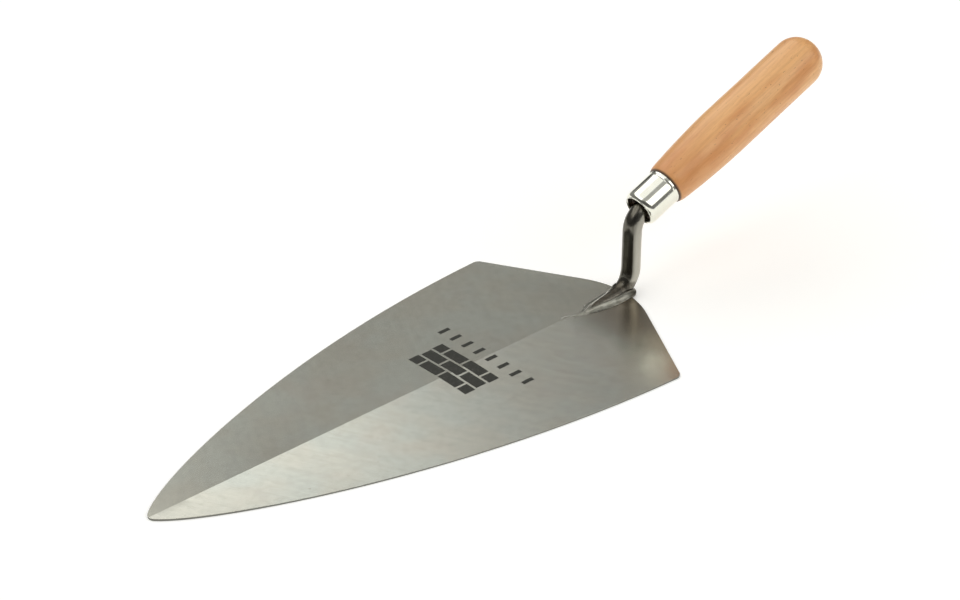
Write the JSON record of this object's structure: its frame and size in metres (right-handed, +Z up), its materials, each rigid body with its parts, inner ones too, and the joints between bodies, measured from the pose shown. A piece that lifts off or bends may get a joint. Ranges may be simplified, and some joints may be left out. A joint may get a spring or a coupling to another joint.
{
  "type": "brick trowel",
  "caption": "Wide-heel brick trowel: flat ground steel blade, forged cranked shank welded on its spine, plated ferrule and turned wooden handle.",
  "frame": {"origin": "on the blade's flat underside, on the centre line, between the two heel corners", "axes": "+X from the blade's tip towards the handle's butt, +Y across the blade, +Z up, away from the work face"},
  "size_m": [0.4036, 0.1398, 0.0991],
  "materials": {
    "blade_steel": "satin, belt ground",
    "forged_steel": "dark forge scale, half polished",
    "weld_steel": "ground weld metal",
    "ferrule_plating": "bright nickel plating",
    "handle_wood": "satin lacquered beech"
  },
  "bodies": {
    "root": {"blade": "blade_steel", "shank": "forged_steel", "weld_bead": "weld_steel", "ferrule": "ferrule_plating", "handle": "handle_wood"}
  },
  "joints": []
}
